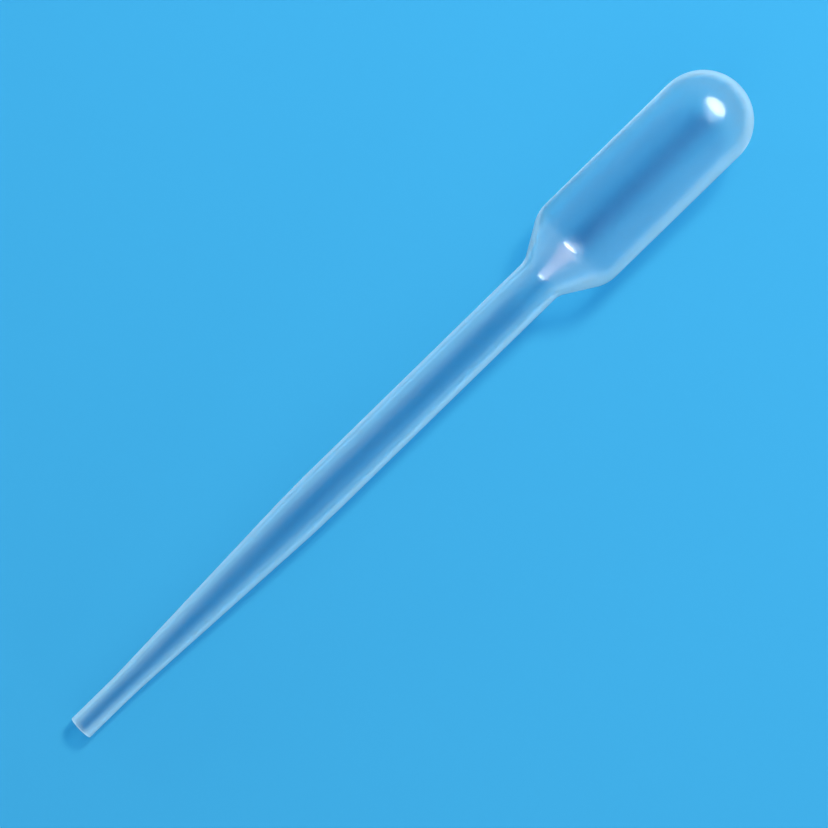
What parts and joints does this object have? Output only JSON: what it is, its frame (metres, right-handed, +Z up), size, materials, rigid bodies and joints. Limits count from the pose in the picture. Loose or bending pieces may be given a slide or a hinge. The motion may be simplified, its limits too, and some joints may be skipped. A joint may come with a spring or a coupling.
{
  "type": "dropper pipette",
  "caption": "Blown plastic dropper pipette, lying on its side: a closed squeeze bulb with a domed end, a cone, a round stem and a long taper to an open tip.",
  "frame": {"origin": "centre of the lying pipette's box, on the surface it lies on", "axes": "+X from the open tip towards the domed end of the bulb, +Y across it, +Z up; the pipette's own axis leans 3.05 degrees up from +X, because it lies on its shoulder and on the lower edge of its tip"},
  "size_m": [0.15, 0.0164, 0.0179],
  "materials": {
    "ldpe": "milky translucent blown low-density polyethylene, unpigmented, satin gloss"
  },
  "bodies": {
    "root": {"pipette": "ldpe"}
  },
  "joints": []
}
